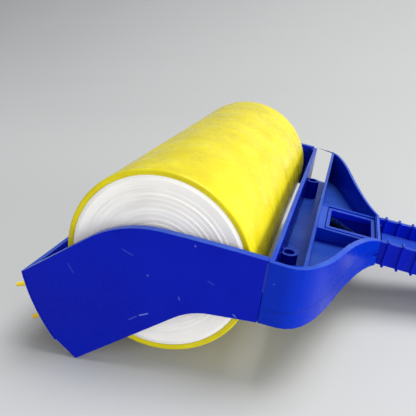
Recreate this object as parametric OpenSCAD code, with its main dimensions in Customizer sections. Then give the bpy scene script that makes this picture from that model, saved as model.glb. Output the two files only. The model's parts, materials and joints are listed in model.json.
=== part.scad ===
// Washable gel lint roller, parked on a table with its open side up.
// The model is drawn with the roller axis on the Y axis, +X towards the handle,
// then park_it() tilts it onto its two arm corners and the end of the handle.
// All sizes are in millimetres.

/* [Roller] */
// Length of the roller over its end caps
roller_len = 169; // [130:1:220]
// Outer radius of the gel sleeve
gel_r = 37.8; // [32:0.2:46]
// Thickness of the gel sleeve
gel_t = 2.3; // [1.5:0.1:3]
// Wall thickness of the core tube
tube_t = 2.2; // [1.6:0.1:3]
// Diameter of the axle rod
axle_d = 8; // [6:0.2:10]

/* [Frame] */
// Thickness of the side arms
arm_t = 3.5; // [2.9:0.1:4.5]
// Gap between the roller end and the arm
arm_gap = 2.5; // [2:0.1:4]
// Thickness of the flared yoke sides
shell_t = 2.2; // [1.8:0.1:3]
// Thickness of the front panel
panel_t = 2.6; // [2:0.1:3.4]

/* [Fingers] */
// Number of rubber fingers in a row
fingers = 24; // [12:1:30]
// How far the fingers stand out of the panel
finger_len = 14; // [8:0.5:18]
// Radius of a finger where it leaves the strip
finger_r = 1.7; // [1.2:0.1:2]

/* [Handle] */
// Length of the handle outside the yoke
grip_len = 124; // [90:1:170]
// Width of the handle over its rails
grip_w = 34.2; // [28:0.2:42]
// Height of the rails
grip_h = 11.4; // [9:0.2:14]
// Distance between grip ribs
rib_pitch = 6.7; // [5:0.1:9]
// Radius of the hanging hole
hang_r = 4; // [3:0.1:5]

/* [Hidden] */
$fn = 72;
eps = 0.01;

// The arm outline grows with the roller.
k = gel_r / 37.8;
core_r = gel_r - gel_t;
axle_r = axle_d / 2;
in_w = roller_len / 2 + arm_gap;
out_w = in_w + arm_t;

// Axle bearings in the arms, the washers on them, and the lap at the seam
bear_h = arm_gap - 0.9;
washer_t = 0.5;
socket_depth = arm_t - 1.5;
lap = arm_t * 0.46;
peg_len = arm_t - 1.6;
run_gap = 0.05;

// Front panel: an arc about a line near the roller axis.
pan_x = 13.3 * k;
pan_z = 4.7 * k;
pan_r = 70.8 * k;
pan_a0 = 196.2;
pan_a1 = 222.8;
lip_t = 0.8;
row_a = [204, 215];
strip_t = 2;
strip_w = 7 * k;
row_span = 2 * in_w - 15;

// Crossbar
seam_x = 42.1 * k;
front_wall_t = 2;
rear_wall_x = seam_x + 11.8;
rear_wall_t = 1.5;
base_z = -9.8 * k;
rim_z = 15.5 * k;
wall_top = rim_z - 0.9;
floor_top = base_z + 5.8;
floor_t = 1.8;
channel_top = base_z + 3.2;
open_h = 2 * (rim_z - base_z);
boss_r = 3.9;
boss_hole_r = 2.3;
boss_x = seam_x + front_wall_t + 2.4;
boss_y = 0.615 * in_w;
boss_top = channel_top + 10.6;

// Yoke and socket
yoke_end = seam_x + 42.9;
grip_bot = base_z + 1.3;
grip_top = grip_bot + grip_h;
ridge_top = grip_top + 0.3;
sock_out = grip_w / 2 + 0.7;
sock_t = 1.7;
sock_in = sock_out - sock_t;
sock_x0 = rear_wall_x + rear_wall_t + 3.4;
sock_x1 = yoke_end - 2.1;
end_wall_t = 2.1;
neck_w = sock_in - 0.6;
neck_top = ridge_top - 3.4;
flare = out_w - sock_out;

// Handle
rail_t = 3;
web_t = 2;
web_top = grip_bot + 4.3;
droop = 3;
rib_t = 1.2;
rib_out = 0.8;
turn_x = grip_len - grip_w / 2;
pin_r = 1.1;
pin_x = yoke_end - 1.3;
pin_z = grip_bot + 5;

// Parking on the table: arm corner and handle tip on one level
corner = [-28.8 * k, -49.4 * k];
tip_l = [grip_len, grip_bot - rib_out];
tip = [yoke_end + tip_l[0] * cos(droop) + tip_l[1] * sin(droop),
       tip_l[1] * cos(droop) - tip_l[0] * sin(droop)];
park = atan2(tip[1] - corner[1], tip[0] - corner[0]);
tip_up = [yoke_end + grip_len * cos(droop) + (grip_top + rib_out) * sin(droop),
          (grip_top + rib_out) * cos(droop) - grip_len * sin(droop)];
nose_r = pan_r + finger_len;
nose = [pan_x + nose_r * cos(row_a[0]), pan_z + nose_r * sin(row_a[0])];
function turned_x(p) = p[0] * cos(park) + p[1] * sin(park);
function turned_z(p) = p[1] * cos(park) - p[0] * sin(park);
park_x = -(turned_x(tip_up) + turned_x(nose)) / 2;
park_z = -turned_z(corner);

// ---------- helpers ----------

function arc(cx, cz, r, a0, a1, n) =
    [for (i = [0:n])
        let (a = a0 + (a1 - a0) * i / n)
        [cx + r * cos(a), cz + r * sin(a)]];

function bezier(p, n) =
    [for (i = [0:n])
        let (t = i / n, u = 1 - t)
        u * u * u * p[0] + 3 * u * u * t * p[1] + 3 * u * t * t * p[2] + t * t * t * p[3]];

function reversed(v) = [for (i = [len(v) - 1:-1:0]) v[i]];
function mirrored(v) = [for (p = v) [p[0], -p[1]]];

// Moves each point of a line to its right by d.
function inset(v, d) =
    [for (i = [0:len(v) - 1])
        let (a = v[max(i - 1, 0)],
             b = v[min(i + 1, len(v) - 1)],
             s = (b - a) / norm(b - a))
        v[i] + d * [s[1], -s[0]]];

// Height of the ridges: they fall with the droop of the handle.
function ridge_z(x) = ridge_top + 0.2 - (x - rear_wall_x - rear_wall_t) * tan(droop);

module park_it()
{
    translate([park_x, 0, park_z])
        rotate([0, park, 0])
            children();
}

// Extrudes an outline of the XZ plane from y0 to y1.
module across(y0, y1)
{
    translate([0, y1, 0])
        rotate([90, 0, 0])
            linear_extrude(y1 - y0)
                children();
}

// A cylinder along Y.
module rod_y(r, y0, y1)
{
    translate([0, y0, 0])
        rotate([-90, 0, 0])
            cylinder(r = r, h = y1 - y0);
}

// A bar of the socket under the line of the ridges, lowered by drop.
module under_ridge(x0, x1, y0, y1, z0, drop)
{
    across(y0, y1)
        polygon([[x0, z0], [x0, ridge_z(x0) - drop], [x1, ridge_z(x1) - drop], [x1, z0]]);
}

// A curved plate about the panel's centre line.
module sector(r0, r1, a0, a1, y0, y1)
{
    translate([pan_x, y1, pan_z])
        rotate([90, 0, 0])
            rotate([0, 0, a0])
                rotate_extrude(angle = a1 - a0)
                    translate([r0, 0])
                        square([r1 - r0, y1 - y0]);
}

// Places its children on a radius of the panel.
module on_radius(a, r, y)
{
    translate([pan_x, y, pan_z])
        rotate([0, -a, 0])
            translate([r, 0, 0])
                children();
}

// ---------- cradle frame ----------

arm_line = concat(
    arc(pan_x, pan_z, pan_r - lip_t, 223, pan_a0, 8),
    k * arc(2.2, -29.6, 46.4, 128.8, 90, 8),
    k * arc(2.2, -633.2, 650, 90, 86.48, 4),
    [[seam_x, base_z]],
    k * arc(27.35, -37.5, 26, 94.5, 129, 6),
    [corner]);

module arm(y0)
{
    across(y0, y0 + arm_t)
        polygon(arm_line);
}

module peg_places(side)
{
    for (a = [203.5, 215.5])
        on_radius(a, pan_r - panel_t - 4, side * in_w)
            children();
}

module cradle_frame()
{
    color("royalblue")
    park_it()
    difference()
    {
        union()
        {
            arm(-out_w);
            arm(in_w);
            // front wall of the crossbar, with its ends let into the arms
            translate([seam_x, -in_w - lap, channel_top])
                cube([front_wall_t, 2 * in_w + lap + arm_t, wall_top - channel_top]);
            // roots that tie the wall to the arms
            translate([seam_x - 1.5, -in_w - lap, channel_top])
                cube([1.5 + eps, lap + 1.6, wall_top - channel_top]);
            translate([seam_x - 1.5, in_w - 1.6, channel_top])
                cube([1.5 + eps, 3.2, wall_top - channel_top]);
            for (s = [-1, 1])
                translate([boss_x, s * boss_y, channel_top])
                    cylinder(r = boss_r, h = boss_top - channel_top);
            // bearings for the axle rod
            rod_y(axle_r + 4, -in_w - 1, -in_w + bear_h);
            rod_y(axle_r + 4, in_w - bear_h, in_w + 1);
        }
        for (s = [-1, 1])
            translate([boss_x, s * boss_y, channel_top - 1])
                cylinder(r = boss_hole_r, h = boss_top - channel_top + 2);
        rod_y(axle_r + 0.02, -in_w - socket_depth, -in_w + arm_gap);
        rod_y(axle_r + 0.02, in_w - arm_gap, in_w + socket_depth);
        for (s = [-1, 1])
            peg_places(s)
                rod_y(1.5, -peg_len - 0.1, peg_len + 0.1);
    }
}

// ---------- yoke ----------

flank = concat(
    [[seam_x + 0.1, out_w]],
    bezier([[seam_x + 7, out_w],
            [seam_x + 16, out_w],
            [seam_x + 21, sock_out + 0.828 * flare],
            [seam_x + 26, sock_out + 0.572 * flare]], 8),
    bezier([[seam_x + 26.8, sock_out + 0.53 * flare],
            [seam_x + 28.6, sock_out + 0.436 * flare],
            [seam_x + 35.4, sock_out + 0.092 * flare],
            [yoke_end, sock_out]], 8));

module flank_plan()
{
    polygon(concat(flank, reversed(mirrored(flank))));
}

module flank_hollow()
{
    in_line = inset(flank, shell_t);
    polygon(concat([for (p = in_line) [min(p[0], yoke_end), max(p[1], 1)]],
                   reversed([for (p = in_line) [min(p[0], yoke_end), -max(p[1], 1)]])));
}

module yoke_side_view()
{
    top_line = bezier([[seam_x + 12.9, rim_z - 0.9],
                       [seam_x + 21, rim_z - 1.1],
                       [seam_x + 31.9, ridge_top + 4.2],
                       [yoke_end, ridge_top + 0.1]], 8);
    polygon(concat([[seam_x, base_z], [seam_x, rim_z - 0.1]],
                   top_line,
                   [[yoke_end, base_z + 0.8], [yoke_end - 12, base_z]]));
}

module yoke()
{
    color("royalblue")
    park_it()
    difference()
    {
        intersection()
        {
            union()
            {
                difference()
                {
                    translate([0, 0, base_z])
                        linear_extrude(rim_z - base_z)
                            flank_plan();
                    // open side, deeper between the two walls of the crossbar
                    translate([0, 0, floor_top])
                        linear_extrude(open_h)
                            flank_hollow();
                    intersection()
                    {
                        translate([0, 0, channel_top])
                            linear_extrude(open_h)
                                flank_hollow();
                        translate([seam_x - 1, -out_w, base_z])
                            cube([rear_wall_x - seam_x + 1.5, 2 * out_w, open_h]);
                    }
                    // hollow underside, following the two floors
                    translate([0, 0, base_z - 1])
                        linear_extrude(channel_top - floor_t - base_z + 1)
                            flank_hollow();
                    intersection()
                    {
                        translate([0, 0, base_z - 1])
                            linear_extrude(floor_top - floor_t - base_z + 1)
                                flank_hollow();
                        translate([rear_wall_x + rear_wall_t, -out_w, base_z - 1])
                            cube([60, 2 * out_w, open_h]);
                    }
                }
                // skirt under the front wall
                translate([seam_x + 0.1, -out_w + 1, base_z])
                    cube([1.6, 2 * out_w - 2, channel_top - base_z]);
                // rear wall of the crossbar
                translate([rear_wall_x, -out_w + 2.6, channel_top - 1])
                    cube([rear_wall_t, 2 * out_w - 5.2, wall_top - channel_top + 1]);
                // socket ridges and the walls below them
                for (s = [-1, 1])
                    under_ridge(rear_wall_x + 0.5, yoke_end - 1,
                                s < 0 ? -sock_out : sock_in, s < 0 ? -sock_in : sock_out,
                                base_z, 0);
                // ledge between the rear wall and the socket, and the wall below it
                under_ridge(rear_wall_x + 0.5, sock_x0, -sock_in - 0.5, sock_in + 0.5,
                            ridge_top - 1.8, 0.5);
                under_ridge(sock_x0 - 1.6, sock_x0, -sock_in - 0.5, sock_in + 0.5, base_z, 0.5);
                // end wall
                translate([yoke_end - end_wall_t, -sock_out, base_z])
                    cube([end_wall_t, 2 * sock_out, ridge_top - base_z]);
            }
            across(-out_w - 1, out_w + 1)
                yoke_side_view();
        }
        // room for the cradle's front wall and its near root
        translate([seam_x - 1, -in_w - lap - 0.1, channel_top])
            cube([front_wall_t + 1.1, in_w + out_w + 9, open_h]);
        // the far end of the channel is open above the floor
        translate([seam_x - 1, in_w - 4, channel_top])
            cube([rear_wall_x - seam_x + 1, arm_t + 9, open_h]);
        // slot under the ledge, open to the underside
        translate([rear_wall_x + rear_wall_t, -sock_in, base_z - 1])
            cube([sock_x0 - 1.6 - rear_wall_x - rear_wall_t, 2 * sock_in,
                  ridge_top - 1.8 - base_z + 1]);
        // socket for the hollow tongue
        translate([sock_x0, -sock_in, base_z - 1])
            cube([sock_x1 - sock_x0, 2 * sock_in, 40]);
        // doorway for the handle's neck
        translate([sock_x1 - 2, -neck_w - 0.1, base_z - 1])
            cube([10, 2 * neck_w + 0.2, neck_top + 0.1 - base_z + 1]);
        // screw holes with room for the heads below the floor
        for (s = [-1, 1])
            translate([boss_x, s * boss_y, base_z - 1])
            {
                cylinder(r = boss_hole_r, h = 12);
                cylinder(r = 3.8, h = channel_top - floor_t - base_z + 1);
            }
        translate([pin_x, 0, pin_z])
            rod_y(pin_r + 0.05, -out_w, out_w);
    }
}

module yoke_screws()
{
    seat = channel_top - floor_t;
    head = 1.4;
    color("silver")
    park_it()
    for (s = [-1, 1])
        translate([boss_x, s * boss_y, seat])
        {
            difference()
            {
                translate([0, 0, -head])
                    cylinder(r = 3.5, h = head);
                // cross recess
                translate([-2, -0.45, -head - 1])
                    cube([4, 0.9, 1.8]);
                translate([-0.45, -2, -head - 1])
                    cube([0.9, 4, 1.8]);
            }
            translate([0, 0, -0.2])
                cylinder(r = boss_hole_r - 0.05, h = 8.2);
            translate([0, 0, 8])
                cylinder(r1 = boss_hole_r - 0.05, r2 = 0.5, h = 1.5);
        }
}

// ---------- front panel and finger strips ----------

module finger_places(a, r)
{
    for (i = [0:fingers - 1])
        on_radius(a, r, -row_span / 2 + row_span * i / (fingers - 1))
            children();
}

module finger_panel()
{
    color("royalblue")
    park_it()
    difference()
    {
        union()
        {
            sector(pan_r - panel_t, pan_r, pan_a0, pan_a1, -in_w + 0.1, in_w - 0.1);
            // thin lips over the front edges of the arms
            sector(pan_r - lip_t + 0.05, pan_r, pan_a0, pan_a1, -out_w, -in_w + 1);
            sector(pan_r - lip_t + 0.05, pan_r, pan_a0, pan_a1, in_w - 1, out_w);
            // channels for the finger strips
            for (a = row_a)
            {
                sector(pan_r - panel_t - 2.4, pan_r - panel_t + 0.2,
                       a - 4, a - 3.1, -in_w + 1, in_w - 1);
                sector(pan_r - panel_t - 2.4, pan_r - panel_t + 0.2,
                       a + 3.1, a + 4, -in_w + 1, in_w - 1);
            }
            // end flanges with pegs that sit in the arms
            for (s = [-1, 1])
            {
                sector(pan_r - panel_t - 7, pan_r - panel_t + 0.2, 200, 219,
                       s < 0 ? -in_w + 0.1 : in_w - 2.1,
                       s < 0 ? -in_w + 2.1 : in_w - 0.1);
                peg_places(s)
                    rod_y(1.45, s < 0 ? -peg_len : -1, s < 0 ? 1 : peg_len);
            }
        }
        for (a = row_a)
            finger_places(a, pan_r - panel_t - 1)
                rotate([0, 90, 0])
                    cylinder(r = finger_r + 0.05, h = panel_t + 2);
    }
}

module finger_strip(a)
{
    tip_r = finger_r / 2;
    shank = finger_len + panel_t - tip_r + 1.1;
    color("gold")
    park_it()
    {
        on_radius(a, pan_r - panel_t - strip_t - 0.15, 0)
            translate([0, -in_w + 2.4, -strip_w / 2])
                cube([strip_t, 2 * in_w - 4.8, strip_w]);
        finger_places(a, pan_r - panel_t - 1.1)
            rotate([0, 90, 0])
                rotate_extrude()
                    polygon(concat([[0, 0], [finger_r, 0]],
                                   [for (t = [0:18:72]) [tip_r * cos(t), shank + tip_r * sin(t)]],
                                   [[0, shank + tip_r]]));
    }
}

module finger_strip_upper()
{
    finger_strip(row_a[0]);
}

module finger_strip_lower()
{
    finger_strip(row_a[1]);
}

// ---------- roller ----------

cap_flange = 1.6;
plug_r = core_r - tube_t;
hub_len = 16;

module gel_sleeve()
{
    h = roller_len;
    lead = 0.7;
    color("yellow")
    park_it()
    rotate([90, 0, 0])
        rotate_extrude()
            polygon([[core_r, -h / 2 + 0.2], [gel_r - lead, -h / 2],
                     [gel_r - 0.2, -h / 2 + 0.2], [gel_r, -h / 2 + lead],
                     [gel_r, h / 2 - lead], [gel_r - 0.2, h / 2 - 0.2],
                     [gel_r - lead, h / 2], [core_r, h / 2 - 0.2]]);
}

module core_tube()
{
    half = roller_len / 2 - cap_flange;
    color("white")
    park_it()
    difference()
    {
        rod_y(core_r, -half, half);
        rod_y(core_r - tube_t, -half - 1, half + 1);
    }
}

// Outline of a cap from its axis out: fine rings stand on the outer face.
module end_cap_shape()
{
    rings = 11;
    step = (core_r - 10 - axle_r) / rings;
    top = cap_flange - 0.3;
    difference()
    {
        union()
        {
            rotate_extrude()
                polygon(concat(
                    [[axle_r + run_gap, 0], [axle_r + run_gap, cap_flange],
                     [axle_r + 6, cap_flange], [axle_r + 6.4, top]],
                    [for (i = [1:rings])
                        for (q = [0, 1])
                            [axle_r + 7 + (i - 1 + 0.7 * q) * step, top + 0.3 * q]],
                    [[core_r - 1.6, cap_flange], [core_r - 0.1, cap_flange - 0.4],
                     [core_r - 0.1, 0]]));
            // hub on the axle
            translate([0, 0, -hub_len])
                cylinder(r = axle_r + 3.5, h = hub_len + eps);
            // plug that fits the tube
            difference()
            {
                translate([0, 0, -9])
                    cylinder(r = plug_r - 0.05, h = 9 + eps);
                translate([0, 0, -10])
                    cylinder(r = plug_r - 2.2, h = 10);
            }
            // spokes
            for (a = [0:60:300])
                rotate([0, 0, a])
                    translate([axle_r + 2, -0.9, -8])
                        cube([plug_r - axle_r - 3, 1.8, 8 + eps]);
        }
        translate([0, 0, -hub_len - 1])
            cylinder(r = axle_r + run_gap, h = hub_len + 5);
    }
}

module end_cap_near()
{
    color("whitesmoke")
    park_it()
    translate([0, -roller_len / 2 + cap_flange, 0])
        rotate([90, 0, 0])
            end_cap_shape();
}

module end_cap_far()
{
    color("whitesmoke")
    park_it()
    translate([0, roller_len / 2 - cap_flange, 0])
        rotate([-90, 0, 0])
            end_cap_shape();
}

module axle_rod()
{
    half = in_w + socket_depth - 0.1;
    color("silver")
    park_it()
    {
        rod_y(axle_r, -half + 0.5, half - 0.5);
        translate([0, half - 0.5, 0])
            rotate([-90, 0, 0])
                cylinder(r1 = axle_r, r2 = axle_r - 0.5, h = 0.5);
        translate([0, -half + 0.5, 0])
            rotate([90, 0, 0])
                cylinder(r1 = axle_r, r2 = axle_r - 0.5, h = 0.5);
    }
}

module thrust_washers()
{
    face = in_w - bear_h;
    color("whitesmoke")
    park_it()
    for (s = [-1, 1])
        difference()
        {
            rod_y(axle_r + 3.4, s < 0 ? -face : face - washer_t,
                  s < 0 ? -face + washer_t : face);
            rod_y(axle_r + run_gap, -in_w, in_w);
        }
}

// ---------- handle ----------

module grip_frame()
{
    translate([yoke_end, 0, 0])
        rotate([0, droop, 0])
            children();
}

module grip_solid()
{
    mid = grip_w / 2 - rail_t;
    difference()
    {
        union()
        {
            // two rails and the round end that joins them
            for (s = [-1, 1])
                translate([-2, s * (mid + rail_t / 2) - rail_t / 2, grip_bot])
                    cube([turn_x + 2, rail_t, grip_h]);
            translate([turn_x, 0, grip_bot - rib_out])
                rotate([0, 0, -90])
                    rotate_extrude(angle = 180)
                        translate([mid, 0])
                            square([rail_t, grip_h + 2 * rib_out]);
            // web between the rails
            translate([-2, -mid - 0.5, web_top - web_t])
                cube([turn_x + 2, 2 * mid + 1, web_t]);
            translate([turn_x, 0, web_top - web_t])
                cylinder(r = mid + 0.5, h = web_t);
            // grip ribs wrapped around each rail
            for (x = [3.6:rib_pitch:turn_x - 1])
                for (s = [-1, 1])
                    translate([x, s * (mid + rail_t / 2), grip_bot + grip_h / 2])
                        cube([rib_t, rail_t + 2 * rib_out, grip_h + 2 * rib_out], center = true);
            // boss around the hanging hole
            translate([turn_x + 2, 0, grip_bot])
                cylinder(r = hang_r + 3, h = grip_h - 2);
        }
        translate([turn_x + 2, 0, grip_bot - 5])
            cylinder(r = hang_r, h = grip_h + 10);
    }
}

module handle()
{
    tray_out = sock_in - 0.1;
    tray_t = 1.5;
    tray_x0 = sock_x0 + 0.2;
    tray_x1 = sock_x1 - 0.2;
    tray_bot = base_z + 0.4;
    bar = 2.8;
    module mouth()
    {
        translate([tray_x0 + 1.8, -tray_out + 4.4, ridge_top - 8])
            cube([tray_x1 - tray_x0 - 3.7, 2 * (tray_out - 4.4), 20]);
    }
    color("royalblue")
    park_it()
    difference()
    {
        union()
        {
            difference()
            {
                grip_frame()
                    grip_solid();
                translate([yoke_end - 20, -30, -40])
                    cube([20.1, 60, 80]);
            }
            // neck through the doorway
            for (s = [-1, 1])
                translate([tray_x1 - 1, s * (neck_w - bar / 2) - bar / 2, grip_bot + 0.1])
                    cube([yoke_end - tray_x1 + 2.6, bar, neck_top - grip_bot - 0.1]);
            translate([tray_x1 - 1, -neck_w + 1, web_top - web_t])
                cube([yoke_end - tray_x1 + 2.6, 2 * neck_w - 2, web_t]);
            // hollow tongue: a floor, four walls and a rim stepped up around its mouth
            translate([tray_x0, -tray_out, tray_bot])
                cube([tray_x1 - tray_x0, 2 * tray_out, 1.5]);
            difference()
            {
                under_ridge(tray_x0, tray_x1, -tray_out, tray_out, tray_bot, 1.3);
                translate([tray_x0 + tray_t, -tray_out + tray_t, tray_bot - 1])
                    cube([tray_x1 - tray_x0 - 2 * tray_t, 2 * (tray_out - tray_t),
                          ridge_top - 3.2 - tray_bot]);
                mouth();
            }
            difference()
            {
                under_ridge(tray_x0, tray_x1, -tray_out + 1.8, tray_out - 1.8,
                            ridge_top - 4, 0.2);
                mouth();
            }
        }
        translate([pin_x, 0, pin_z])
            rod_y(pin_r + 0.05, -out_w, out_w);
    }
}

module handle_pins()
{
    color("royalblue")
    park_it()
    translate([pin_x, 0, pin_z])
        for (s = [-1, 1])
            rod_y(pin_r, s < 0 ? -sock_out - 0.3 : neck_w - 2.9, s < 0 ? -neck_w + 2.9 : sock_out + 0.3);
}

// ---------- nodes ----------

cradle_frame();
yoke();
yoke_screws();
handle();
handle_pins();
finger_panel();
finger_strip_upper();
finger_strip_lower();
gel_sleeve();
core_tube();
end_cap_near();
end_cap_far();
axle_rod();
thrust_washers();
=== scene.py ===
"""Looks for the washable gel lint roller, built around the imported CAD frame."""
import json
import math
import random

import bmesh
import bpy
from mathutils import Matrix, Vector


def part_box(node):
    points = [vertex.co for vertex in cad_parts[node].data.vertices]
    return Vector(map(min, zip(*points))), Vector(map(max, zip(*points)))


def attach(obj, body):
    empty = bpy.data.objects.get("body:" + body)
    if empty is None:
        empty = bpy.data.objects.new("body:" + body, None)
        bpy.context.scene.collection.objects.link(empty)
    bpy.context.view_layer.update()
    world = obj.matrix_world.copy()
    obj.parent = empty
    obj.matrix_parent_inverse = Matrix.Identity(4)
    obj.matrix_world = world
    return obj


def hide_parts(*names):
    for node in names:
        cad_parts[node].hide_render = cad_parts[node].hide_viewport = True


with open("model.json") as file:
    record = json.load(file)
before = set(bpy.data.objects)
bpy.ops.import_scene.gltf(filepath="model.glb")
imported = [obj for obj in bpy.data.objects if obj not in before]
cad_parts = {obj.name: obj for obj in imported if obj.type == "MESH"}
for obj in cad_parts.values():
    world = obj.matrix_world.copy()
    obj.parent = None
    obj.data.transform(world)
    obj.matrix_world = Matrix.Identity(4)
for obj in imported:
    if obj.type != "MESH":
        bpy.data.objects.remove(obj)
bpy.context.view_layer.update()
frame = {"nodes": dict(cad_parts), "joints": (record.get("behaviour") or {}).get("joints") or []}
NODES = frame["nodes"]
JOINT = frame["joints"][0]
AXLE = Vector(JOINT["pos_m"])
MM = 0.001
random.seed(7)

# The CAD is designed upright and then parked, turned by this angle about the axle
PARK = math.radians(8.0698)

# What moulded and worn parts have in common
EDGE_ANGLE = 28        # degrees: a sharper edge than this is rounded
CREASE_ANGLE = 40      # degrees: a sharper edge than this stays a crease
RING_PITCH = 0.4 * MM  # the end caps' turned rings
RING_HEIGHT = 0.3 * MM
RING_ZONE = (10.6 * MM, 33.6 * MM)


# ---------- node helpers ----------

def new_material(name):
    """An empty node material: its output and one principled shader."""
    mat = bpy.data.materials.new(name)
    mat.use_nodes = True
    tree = mat.node_tree
    tree.nodes.clear()
    out = tree.nodes.new("ShaderNodeOutputMaterial")
    bsdf = tree.nodes.new("ShaderNodeBsdfPrincipled")
    tree.links.new(bsdf.outputs["BSDF"], out.inputs["Surface"])
    return mat, tree, bsdf


def place(tree, scale=(1, 1, 1), turn=(0, 0, 0), shift=(0, 0, 0)):
    """Object coordinates, scaled, turned and shifted."""
    where = tree.nodes.new("ShaderNodeTexCoord")
    mapping = tree.nodes.new("ShaderNodeMapping")
    mapping.inputs["Scale"].default_value = scale
    mapping.inputs["Rotation"].default_value = turn
    mapping.inputs["Location"].default_value = shift
    tree.links.new(where.outputs["Object"], mapping.inputs["Vector"])
    return mapping.outputs["Vector"]


def noise(tree, vector, scale, detail=2.0, rough=0.5):
    """Soft cloud noise, scale features to the metre."""
    made = tree.nodes.new("ShaderNodeTexNoise")
    made.inputs["Scale"].default_value = scale
    made.inputs["Detail"].default_value = detail
    made.inputs["Roughness"].default_value = rough
    tree.links.new(vector, made.inputs["Vector"])
    return made.outputs["Fac"]


def calc(tree, operation, a, b=0.0):
    """One sum on two sockets or numbers."""
    made = tree.nodes.new("ShaderNodeMath")
    made.operation = operation
    for i, value in enumerate((a, b)):
        if isinstance(value, (int, float)):
            made.inputs[i].default_value = value
        else:
            tree.links.new(value, made.inputs[i])
    return made.outputs[0]


def spread(tree, value, low, high, at_low, at_high):
    """A smooth step from at_low to at_high while value goes from low to high."""
    made = tree.nodes.new("ShaderNodeMapRange")
    made.interpolation_type = "SMOOTHSTEP"
    for i, number in enumerate((low, high, at_low, at_high)):
        made.inputs[i + 1].default_value = number
    tree.links.new(value, made.inputs[0])
    return made.outputs[0]


def ramp(tree, source, stops):
    """A colour for each place in stops, blended between."""
    made = tree.nodes.new("ShaderNodeValToRGB")
    tree.links.new(source, made.inputs["Fac"])
    for end in (0, -1):
        made.color_ramp.elements[end].position = stops[end][0]
        made.color_ramp.elements[end].color = stops[end][1] + (1,)
    for position, colour in stops[1:-1]:
        made.color_ramp.elements.new(position).color = colour + (1,)
    return made.outputs["Color"]


def mix(tree, factor, a, b):
    """Colour a turning to colour b as factor goes from 0 to 1."""
    made = tree.nodes.new("ShaderNodeMix")
    made.data_type = "RGBA"
    factor_in, a_in, b_in = made.inputs[0], made.inputs[6], made.inputs[7]
    for socket, value in ((factor_in, factor), (a_in, a), (b_in, b)):
        if isinstance(value, tuple):
            socket.default_value = value + (1,)
        elif isinstance(value, (int, float)):
            socket.default_value = value
        else:
            tree.links.new(value, socket)
    return made.outputs[2]


def bump(tree, bsdf, height, strength, distance, before=None):
    """Relief on the surface, on top of the relief before it."""
    made = tree.nodes.new("ShaderNodeBump")
    made.inputs["Strength"].default_value = strength
    made.inputs["Distance"].default_value = distance
    tree.links.new(height, made.inputs["Height"])
    if before is not None:
        tree.links.new(before, made.inputs["Normal"])
    tree.links.new(made.outputs["Normal"], bsdf.inputs["Normal"])
    return made.outputs["Normal"]


def stroke(tree, x, z, start, end, width):
    """1 on a short scratch from start to end in the side plane, in millimetres."""
    (ax, az), (bx, bz) = start, end
    long = math.hypot(bx - ax, bz - az)
    ux, uz = (bx - ax) / long, (bz - az) / long
    dx = calc(tree, "SUBTRACT", calc(tree, "MULTIPLY", x, 1000.0), ax)
    dz = calc(tree, "SUBTRACT", calc(tree, "MULTIPLY", z, 1000.0), az)
    along = calc(tree, "ADD", calc(tree, "MULTIPLY", dx, ux), calc(tree, "MULTIPLY", dz, uz))
    near = calc(tree, "MAXIMUM", calc(tree, "MINIMUM", along, long), 0.0)
    off_x = calc(tree, "SUBTRACT", dx, calc(tree, "MULTIPLY", near, ux))
    off_z = calc(tree, "SUBTRACT", dz, calc(tree, "MULTIPLY", near, uz))
    away = calc(tree, "SQRT", calc(tree, "ADD", calc(tree, "MULTIPLY", off_x, off_x),
                                   calc(tree, "MULTIPLY", off_z, off_z)))
    return spread(tree, away, width * 0.4, width, 1.0, 0.0)


# ---------- materials ----------

def design_place(tree):
    """Object coordinates turned back upright, in metres from the axle."""
    where = tree.nodes.new("ShaderNodeTexCoord")
    shift = tree.nodes.new("ShaderNodeMapping")
    shift.inputs["Location"].default_value = tuple(-AXLE)
    tree.links.new(where.outputs["Object"], shift.inputs["Vector"])
    turn = tree.nodes.new("ShaderNodeMapping")
    turn.inputs["Rotation"].default_value = (0, -PARK, 0)
    tree.links.new(shift.outputs["Vector"], turn.inputs["Vector"])
    parts = tree.nodes.new("ShaderNodeSeparateXYZ")
    tree.links.new(turn.outputs["Vector"], parts.inputs[0])
    return parts.outputs


# Scratches and nicks from use, and one painted highlight along the arm-yoke seam: start and end
# in the side plane (mm), half width, strength
WEAR_MARKS_AND_SEAM_HIGHLIGHT = (
    ((-2.7, -20.2), (0.5, -18.5), 0.38, 0.8),
    ((-6.9, -23.5), (-4.0, -21.1), 0.28, 0.35),
    ((33.2, -9.0), (34.2, -9.7), 0.35, 0.7),
    ((11.9, -7.7), (12.4, -8.9), 0.3, 0.45),
    ((-12.0, 6.0), (-7.5, 4.6), 0.22, 0.3),
    ((-34.0, -6.0), (-31.5, -9.5), 0.22, 0.3),
    ((15.6, 14.4), (15.7, 14.5), 0.45, 0.6),
    ((-1.1, -2.1), (-1.0, -2.2), 0.5, 0.45),
    ((45.4, 7.2), (45.5, 7.3), 0.4, 0.5),
    ((42.2, 14.4), (42.2, 3.0), 0.3, 0.6),  # painted highlight: a pale line along the seam between arm and yoke
    ((22.0, 2.0), (24.5, 1.0), 0.2, 0.25),
)


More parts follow.
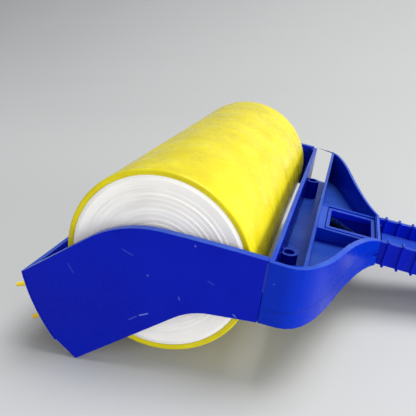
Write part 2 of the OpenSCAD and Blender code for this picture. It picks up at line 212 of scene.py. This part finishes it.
def blue_plastic(name, worn=1.0, parting=False, painted_light_green=1.0):
    """Moulded blue polypropylene: faint flow clouds, fine scuffs and pale specks.

    worn scales the scuffs, parting adds the mould line of the yoke's flanks, and
    the green factor lifts the green of the whole base colour: painted light standing in for the
    light that comes through the thin walls.
    """
    mat, tree, bsdf = new_material(name)
    p = place(tree)
    cloud = noise(tree, p, 26.0, 3.0)
    colour = ramp(tree, cloud, [(0.3, (0.0003, 0.005 * painted_light_green, 0.31)),
                                (0.7, (0.0004, 0.0085 * painted_light_green, 0.375))])
    x, _, z = design_place(tree)
    marks_and_seam_highlight = 0.0
    for start, end, width, depth in WEAR_MARKS_AND_SEAM_HIGHLIGHT:
        line = calc(tree, "MULTIPLY", stroke(tree, x, z, start, end, width), depth * worn)
        marks_and_seam_highlight = calc(tree, "MAXIMUM", line, marks_and_seam_highlight)
    speck = tree.nodes.new("ShaderNodeTexVoronoi")
    speck.inputs["Scale"].default_value = 190.0
    tree.links.new(p, speck.inputs["Vector"])
    dots = spread(tree, speck.outputs["Distance"], 0.05, 0.09, 1.0, 0.0)
    rare = spread(tree, noise(tree, p, 90.0, 1.0), 0.64, 0.68, 0.0, 0.8 * worn)
    dots = calc(tree, "MULTIPLY", dots, rare)
    wear_and_seam_highlight = calc(tree, "MAXIMUM", marks_and_seam_highlight, dots)
    # painted light: faces that look up are mixed, in patches, towards a paler blue
    where = tree.nodes.new("ShaderNodeTexCoord")
    faces = tree.nodes.new("ShaderNodeSeparateXYZ")
    tree.links.new(where.outputs["Normal"], faces.inputs[0])
    painted_top_light = calc(tree, "MULTIPLY", spread(tree, faces.outputs["Z"], 0.55, 0.95, 0.0, 1.0),
                spread(tree, noise(tree, p, 42.0, 3.0), 0.3, 0.7, 0.42, 0.75))
    colour = mix(tree, painted_top_light, colour, (0.035, 0.1, 0.4))
    # scuffs, specks and the painted seam highlight all turn the colour pale blue
    tree.links.new(mix(tree, calc(tree, "MULTIPLY", wear_and_seam_highlight, 0.55), colour, (0.22, 0.32, 0.75)),
                   bsdf.inputs["Base Color"])
    rough = spread(tree, noise(tree, p, 55.0, 4.0), 0.3, 0.7, 0.22, 0.33)
    tree.links.new(calc(tree, "ADD", rough, calc(tree, "MULTIPLY", wear_and_seam_highlight, 0.25)),
                   bsdf.inputs["Roughness"])
    bsdf.inputs["IOR"].default_value = 1.5
    bsdf.inputs["Specular IOR Level"].default_value = 0.08
    first = bump(tree, bsdf, noise(tree, p, 34.0, 2.0), 0.35, 0.0006)
    first = bump(tree, bsdf, noise(tree, p, 1500.0, 2.0), 0.12, 0.00006, first)
    if parting:
        # raised line where the two halves of the mould meet, low on the flanks
        along = calc(tree, "SUBTRACT", x, 0.045)
        level = calc(tree, "ADD", -0.0036, calc(tree, "MULTIPLY", along, 0.085))
        far = calc(tree, "ABSOLUTE", calc(tree, "SUBTRACT", z, level))
        ridge = spread(tree, far, 0.0001, 0.00045, 1.0, 0.0)
        start = spread(tree, x, 0.0425, 0.046, 0.0, 1.0)
        bump(tree, bsdf, calc(tree, "MULTIPLY", ridge, start), 0.9, 0.00035, first)
    return mat


def gel():
    """Tacky yellow gel: saturated, glossy, faintly mottled and wavy."""
    mat, tree, bsdf = new_material("tacky_yellow_gel")
    p = place(tree)
    tone = noise(tree, p, 60.0, 4.0, 0.6)
    colour = ramp(tree, tone, [(0.25, (0.5, 0.42, 0.001)), (0.5, (0.59, 0.505, 0.002)),
                               (0.8, (0.7, 0.61, 0.02))])
    tree.links.new(colour, bsdf.inputs["Base Color"])
    tree.links.new(spread(tree, noise(tree, p, 110.0, 3.0), 0.3, 0.7, 0.2, 0.42),
                   bsdf.inputs["Roughness"])
    bsdf.inputs["IOR"].default_value = 1.45
    bsdf.inputs["Specular IOR Level"].default_value = 0.3
    bsdf.inputs["Subsurface Weight"].default_value = 0.15
    bsdf.inputs["Subsurface Radius"].default_value = (1.0, 0.8, 0.1)
    bsdf.inputs["Subsurface Scale"].default_value = 0.002
    first = bump(tree, bsdf, noise(tree, p, 45.0, 2.0), 0.5, 0.0008)
    bump(tree, bsdf, noise(tree, p, 420.0, 3.0), 0.35, 0.00015, first)
    return mat


def finger_rubber():
    """Soft matt rubber, a little more orange than the gel."""
    mat, tree, bsdf = new_material("yellow_finger_rubber")
    p = place(tree)
    colour = ramp(tree, noise(tree, p, 130.0, 3.0), [
        (0.3, (0.8, 0.52, 0.004)), (0.7, (0.9, 0.68, 0.012))])
    tree.links.new(colour, bsdf.inputs["Base Color"])
    tree.links.new(spread(tree, noise(tree, p, 300.0, 2.0), 0.3, 0.7, 0.42, 0.58),
                   bsdf.inputs["Roughness"])
    bsdf.inputs["Subsurface Weight"].default_value = 0.1
    bsdf.inputs["Subsurface Radius"].default_value = (1.0, 0.7, 0.1)
    bsdf.inputs["Subsurface Scale"].default_value = 0.001
    bump(tree, bsdf, noise(tree, p, 900.0, 3.0), 0.2, 0.0001)
    return mat


def ringed_white():
    """End cap: fine uneven turned rings about the axle, with painted shade making them pinkish
    grey in the hollows.
    """
    mat, tree, bsdf = new_material("ringed_white_cap")
    where = tree.nodes.new("ShaderNodeTexCoord")
    shift = tree.nodes.new("ShaderNodeVectorMath")
    shift.operation = "SUBTRACT"
    shift.inputs[1].default_value = tuple(AXLE)
    tree.links.new(where.outputs["Object"], shift.inputs[0])
    parts = tree.nodes.new("ShaderNodeSeparateXYZ")
    tree.links.new(shift.outputs[0], parts.inputs[0])
    xx = calc(tree, "MULTIPLY", parts.outputs["X"], parts.outputs["X"])
    zz = calc(tree, "MULTIPLY", parts.outputs["Z"], parts.outputs["Z"])
    radius = calc(tree, "SQRT", calc(tree, "ADD", xx, zz))
    line = tree.nodes.new("ShaderNodeCombineXYZ")
    tree.links.new(radius, line.inputs["X"])
    rings = noise(tree, line.outputs[0], 900.0, 2.0, 0.7)
    broad = noise(tree, line.outputs[0], 260.0, 1.0)
    p = place(tree)
    worn = noise(tree, p, 48.0, 3.0)
    height = calc(tree, "ADD", calc(tree, "MULTIPLY", rings, 0.6), broad)
    # painted shade: the ring relief darkens the colour in the hollows; the noise adds random tone
    tone = calc(tree, "ADD", calc(tree, "MULTIPLY", height, 0.45),
                calc(tree, "MULTIPLY", worn, 0.35))
    colour = ramp(tree, tone, [(0.3, (0.56, 0.52, 0.51)), (0.5, (0.77, 0.745, 0.71)),
                               (0.7, (0.85, 0.83, 0.79))])
    tree.links.new(colour, bsdf.inputs["Base Color"])
    tree.links.new(spread(tree, worn, 0.3, 0.7, 0.38, 0.55), bsdf.inputs["Roughness"])
    bsdf.inputs["Subsurface Weight"].default_value = 0.08
    bsdf.inputs["Subsurface Scale"].default_value = 0.002
    bump(tree, bsdf, height, 0.3, 0.0003)
    return mat


def plain_white(name, dark, light, rough):
    """Plain whitish plastic with a faint grain along Y."""
    mat, tree, bsdf = new_material(name)
    p = place(tree, (1, 0.25, 1))
    tree.links.new(ramp(tree, noise(tree, p, 70.0, 3.0), [(0.3, dark), (0.7, light)]),
                   bsdf.inputs["Base Color"])
    tree.links.new(spread(tree, noise(tree, p, 210.0, 2.0), 0.3, 0.7, rough - 0.07, rough + 0.07),
                   bsdf.inputs["Roughness"])
    bump(tree, bsdf, noise(tree, p, 600.0, 2.0), 0.15, 0.0001)
    return mat


def drawn_steel():
    """Bright drawn steel, streaked along Y."""
    mat, tree, bsdf = new_material("drawn_steel")
    along = place(tree, (1, 0.03, 1))
    streaks = noise(tree, along, 1400.0, 3.0, 0.6)
    stain = noise(tree, place(tree), 60.0, 3.0)
    tree.links.new(ramp(tree, stain, [(0.3, (0.5, 0.49, 0.47)), (0.7, (0.66, 0.66, 0.67))]),
                   bsdf.inputs["Base Color"])
    bsdf.inputs["Metallic"].default_value = 1.0
    tree.links.new(spread(tree, streaks, 0.3, 0.7, 0.22, 0.4), bsdf.inputs["Roughness"])
    bump(tree, bsdf, streaks, 0.12, 0.00005)
    return mat


BLUE = blue_plastic("moulded_blue")
BLUE_PANEL = blue_plastic("moulded_blue_panel", 0.6)
# the yoke's copy is greener throughout: painted light for its thin lit flanks
BLUE_YOKE = blue_plastic("moulded_blue_yoke", 0.7, True, 2.6)
GEL = gel()
RUBBER = finger_rubber()
CAP = ringed_white()
TUBE = plain_white("white_core_tube", (0.74, 0.73, 0.71), (0.83, 0.82, 0.8), 0.45)
NYLON = plain_white("natural_nylon", (0.74, 0.72, 0.64), (0.84, 0.82, 0.75), 0.4)
STEEL = drawn_steel()


# ---------- pieces ----------

def finish_piece(mesh, name, body, material, node):
    """Put a finished mesh in the place of a CAD node, on its body."""
    piece = bpy.data.objects.new(name, mesh)
    bpy.context.scene.collection.objects.link(piece)
    mesh.materials.clear()
    mesh.materials.append(material)
    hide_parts(node)
    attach(piece, body)
    return piece


def soften(node, name, body, material, width):
    """The moulded look of a CAD node: the same faces with small rounded edges."""
    mesh = NODES[node].data.copy()
    bm = bmesh.new()
    bm.from_mesh(mesh)
    bmesh.ops.remove_doubles(bm, verts=bm.verts, dist=2e-6)
    bmesh.ops.dissolve_limit(bm, angle_limit=math.radians(0.6), verts=bm.verts, edges=bm.edges)
    bm.normal_update()
    sharp = [e for e in bm.edges
             if len(e.link_faces) == 2 and e.calc_face_angle() > math.radians(EDGE_ANGLE)]
    bmesh.ops.bevel(bm, geom=sharp, offset=width, offset_type="OFFSET", segments=2,
                    profile=0.5, affect="EDGES", clamp_overlap=False, loop_slide=True)
    bm.normal_update()
    for face in bm.faces:
        face.smooth = True
    for edge in bm.edges:
        if len(edge.link_faces) == 2 and edge.calc_face_angle() > math.radians(CREASE_ANGLE):
            edge.smooth = False
    # no rounded edge may leave the box of the solid it belongs to
    low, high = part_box(node)
    for vert in bm.verts:
        vert.co = Vector([min(max(vert.co[i], low[i]), high[i]) for i in range(3)])
    bm.to_mesh(mesh)
    bm.free()
    piece = finish_piece(mesh, name, body, material, node)
    tidy = piece.modifiers.new("even_normals", "WEIGHTED_NORMAL")
    tidy.keep_sharp = True
    tidy.weight = 100
    return piece


soften("cradle_frame", "cradle_moulding", "frame", BLUE, 0.35 * MM)
soften("yoke", "yoke_moulding", "frame", BLUE_YOKE, 0.35 * MM)
soften("handle", "handle_moulding", "frame", BLUE, 0.32 * MM)
soften("finger_panel", "front_panel_moulding", "frame", BLUE_PANEL, 0.22 * MM)


def calm_rings(node, name):
    """The end cap with its turned rings worn down to uneven heights."""
    mesh = NODES[node].data.copy()
    low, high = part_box(node)
    sign = 1 if high[1] > 0.05 else -1
    face = max(abs(low[1]), abs(high[1]))
    base = face - RING_HEIGHT
    inner, outer = RING_ZONE
    levels = {}
    for v in mesh.vertices:
        out = sign * v.co.y
        r = math.hypot(v.co.x - AXLE.x, v.co.z - AXLE.z)
        if out > base + 0.02 * MM and inner < r < outer:
            key = round(r / RING_PITCH)
            levels.setdefault(key, random.uniform(0.1, 0.55))
            v.co.y = sign * (base + levels[key] * (out - base))
    return finish_piece(mesh, name, "roller", CAP, node)


calm_rings("end_cap_near", "ringed_cap_near")
calm_rings("end_cap_far", "ringed_cap_far")

for node, material, slot in (
        ("handle_pins", BLUE_PANEL, "frame_blue"),
        ("yoke_screws", STEEL, "steel"),
        ("axle_rod", STEEL, "steel"),
        ("finger_strip_upper", RUBBER, "rubber_yellow"),
        ("finger_strip_lower", RUBBER, "rubber_yellow"),
        ("gel_sleeve", GEL, "gel_yellow"),
        ("core_tube", TUBE, "tube_white"),
        ("thrust_washers", NYLON, "washer_nylon")):
    NODES[node].data.materials.clear()
    NODES[node].data.materials.append(material)


# ---------- camera ----------

LOOK_ALONG = (-0.25444, 0.90717, -0.33511)
LOOK_UP = (-0.08685, 0.32368, 0.94217)
CAMERA_AT = (-0.000234, -0.257933, 0.133722)

cam_data = bpy.data.cameras.new("camera")
cam = bpy.data.objects.new("camera", cam_data)
bpy.context.scene.collection.objects.link(cam)
cam_data.sensor_width = 36.0
cam_data.lens = 46.336
look = Vector(LOOK_ALONG).normalized()
up = Vector(LOOK_UP)
side = look.cross(up).normalized()
up = side.cross(look).normalized()
turn = Matrix((side, up, -look)).transposed()
cam.matrix_world = Matrix.Translation(Vector(CAMERA_AT)) @ turn.to_4x4()
bpy.context.scene.camera = cam


# ---------- floor and light ----------

def sweep_floor():
    """A pale sheet that lies flat under the part and curves up far behind it."""
    front, reach, bend, rise, half_width, steps = -2.5, 0.5, 2.6, 1.0, 4.0, 16
    line = [(front, 0.0), (reach, 0.0)]
    for i in range(1, steps + 1):
        a = math.radians(90 * i / steps)
        line.append((reach + bend * math.sin(a), bend * (1 - math.cos(a))))
    line.append((reach + bend, bend + rise))
    verts = [(x, y, z) for x in (-half_width, half_width) for y, z in line]
    n = len(line)
    faces = [(i, i + n, i + n + 1, i + 1) for i in range(n - 1)]
    mesh = bpy.data.meshes.new("sweep")
    mesh.from_pydata(verts, [], faces)
    mesh.flip_normals()
    for face in mesh.polygons:
        face.use_smooth = True
    obj = bpy.data.objects.new("sweep", mesh)
    bpy.context.scene.collection.objects.link(obj)
    mat, tree, bsdf = new_material("pale_sheet")
    parts = tree.nodes.new("ShaderNodeSeparateXYZ")
    tree.links.new(place(tree), parts.inputs[0])
    # painted shade: the sheet darkens towards -X, with faint noise
    painted_falloff = calc(tree, "ADD", spread(tree, parts.outputs["X"], -1.6, 0.5, 0.0, 0.9),
                  calc(tree, "MULTIPLY", noise(tree, place(tree), 3.0, 2.0), 0.1))
    tree.links.new(ramp(tree, painted_falloff, [(0.0, (0.23, 0.235, 0.24)), (1.0, (0.49, 0.495, 0.49))]),
                   bsdf.inputs["Base Color"])
    bsdf.inputs["Roughness"].default_value = 0.9
    mesh.materials.append(mat)


sweep_floor()

world = bpy.data.worlds.new("world")
bpy.context.scene.world = world
world.use_nodes = True
world.node_tree.nodes["Background"].inputs["Color"].default_value = (0.93, 0.96, 1.0, 1)
world.node_tree.nodes["Background"].inputs["Strength"].default_value = 0.4
bpy.context.scene.view_settings.view_transform = "Standard"


def area(name, at, size, power, target):
    """A soft window of light that faces its target."""
    data = bpy.data.lights.new(name, "AREA")
    data.energy = power
    data.shape = "RECTANGLE"
    data.size, data.size_y = size
    lamp = bpy.data.objects.new(name, data)
    bpy.context.scene.collection.objects.link(lamp)
    lamp.location = at
    lamp.rotation_euler = (Vector(target) - Vector(at)).to_track_quat("-Z", "Y").to_euler()


def sun(name, direction, strength, spread_deg):
    """Soft light from one direction, as from a wide window or a pale wall."""
    data = bpy.data.lights.new(name, "SUN")
    data.energy = strength
    data.angle = math.radians(spread_deg)
    lamp = bpy.data.objects.new(name, data)
    bpy.context.scene.collection.objects.link(lamp)
    lamp.rotation_euler = Vector(direction).to_track_quat("-Z", "Y").to_euler()


sun("sky_window", (-0.35, -0.2, -1.0), 2.9, 40)
sun("front_fill", (0.1, 1.0, -0.25), 1.1, 60)
area("right_front", (0.7, -0.3, 0.16), (0.6, 0.4), 8, (0.02, -0.02, 0.03))
